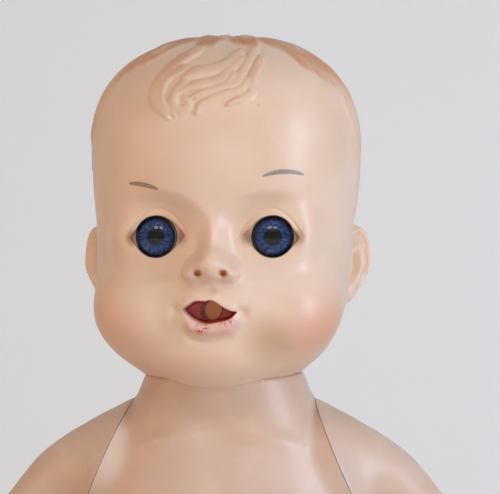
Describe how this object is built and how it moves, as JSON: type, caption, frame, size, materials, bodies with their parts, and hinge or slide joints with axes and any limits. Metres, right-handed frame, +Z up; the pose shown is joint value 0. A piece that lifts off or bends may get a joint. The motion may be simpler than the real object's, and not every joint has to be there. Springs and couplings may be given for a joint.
{
  "type": "interactive baby doll",
  "caption": "Seated vinyl baby doll with turning head, swinging arms and legs, an open mouth that drinks, and a voice unit behind a back hatch.",
  "frame": {"origin": "centre of the flat underside of the seat", "axes": "+Z up along the trunk, the doll faces -Y, its left side is +X"},
  "size_m": [0.223, 0.1981, 0.3306],
  "materials": {
    "soft_vinyl": "satin",
    "hard_shell": "satin",
    "clear_acrylic": "polished",
    "iris_print": "printed",
    "eye_cup_plastic": "gloss",
    "washer_steel": "plain",
    "mouth_plastic": "satin",
    "valve_rubber": "matte",
    "tube_rubber": "satin",
    "box_plastic": "moulded",
    "screw_steel": "plated",
    "seal_rubber": "matte",
    "cell_jacket": "satin",
    "spring_steel": "plated",
    "board_laminate": "coated",
    "chip_epoxy": "gloss",
    "can_aluminium": "satin",
    "switch_plastic": "satin",
    "ball_steel": "polished",
    "speaker_steel": "satin",
    "ferrite": "matte",
    "cone_paper": "matte",
    "clamp_plastic": "moulded",
    "lead_pvc": "satin",
    "funnel_plastic": "moulded",
    "drain_rubber": "satin"
  },
  "bodies": {
    "torso": {"torso_front": "hard_shell", "torso_back": "hard_shell", "battery_box": "box_plastic", "door_seal": "seal_rubber", "left_battery_cell": "cell_jacket", "right_battery_cell": "cell_jacket", "battery_contacts": "spring_steel", "battery_springs": "spring_steel", "circuit_board": "board_laminate", "board_screws": "screw_steel", "voice_chip": "chip_epoxy", "capacitors": "can_aluminium", "tilt_switch_case": "switch_plastic", "speaker_frame": "speaker_steel", "speaker_magnet": "ferrite", "speaker_cone": "cone_paper", "speaker_clamp": "clamp_plastic", "power_switch_case": "switch_plastic", "speaker_leads": "lead_pvc", "neck_funnel": "funnel_plastic", "drain_tube": "drain_rubber", "drain_nozzle": "funnel_plastic", "torso_screws": "screw_steel"},
    "head": {"head_shell": "soft_vinyl", "left_eye_dome": "clear_acrylic", "left_eye_iris": "iris_print", "left_eye_cup": "eye_cup_plastic", "left_eye_washer": "washer_steel", "right_eye_dome": "clear_acrylic", "right_eye_iris": "iris_print", "right_eye_cup": "eye_cup_plastic", "right_eye_washer": "washer_steel", "mouth_cup": "mouth_plastic", "mouth_valve": "valve_rubber", "drinking_tube": "tube_rubber"},
    "left_arm": {"left_arm": "soft_vinyl"},
    "right_arm": {"right_arm": "soft_vinyl"},
    "left_leg": {"left_leg": "soft_vinyl"},
    "right_leg": {"right_leg": "soft_vinyl"},
    "door": {"battery_door": "box_plastic"},
    "screw": {"door_screw": "screw_steel"},
    "slider": {"power_slider": "switch_plastic"},
    "ball": {"tilt_switch_ball": "ball_steel"}
  },
  "joints": [
    {"name": "head_turn", "type": "hinge", "parent": "torso", "child": "head", "pos_m": [0, 0, 0.2], "axis": [0, 0, 1], "range_deg": [-75, 75]},
    {"name": "left_arm_swing", "type": "hinge", "parent": "torso", "child": "left_arm", "pos_m": [0.044, 0, 0.17], "axis": [-0.9178, 0, -0.3971], "range_deg": [-60, 100]},
    {"name": "right_arm_swing", "type": "hinge", "parent": "torso", "child": "right_arm", "pos_m": [-0.044, 0, 0.17], "axis": [-0.9178, 0, 0.3971], "range_deg": [-60, 100]},
    {"name": "left_leg_swing", "type": "hinge", "parent": "torso", "child": "left_leg", "pos_m": [0.041, 0, 0.037], "axis": [0.9397, 0, -0.342], "range_deg": [-10, 90]},
    {"name": "right_leg_swing", "type": "hinge", "parent": "torso", "child": "right_leg", "pos_m": [-0.041, 0, 0.037], "axis": [0.9397, 0, 0.342], "range_deg": [-10, 90]},
    {"name": "battery_door_swing", "type": "hinge", "parent": "torso", "child": "door", "pos_m": [0, 0.0373, 0.0473], "axis": [-1, 0, 0], "range_deg": [0, 100]},
    {"name": "door_screw_turn", "type": "hinge", "parent": "door", "child": "screw", "pos_m": [0, 0.0382, 0.1094], "axis": [0, 1, 0], "continuous": true},
    {"name": "power_slide", "type": "slide", "parent": "torso", "child": "slider", "axis": [1, 0, 0], "range_m": [0, 0.004]},
    {"name": "tilt_ball_roll", "type": "slide", "parent": "torso", "child": "ball", "axis": [0, 0, 1], "range_m": [0, 0.003]}
  ]
}
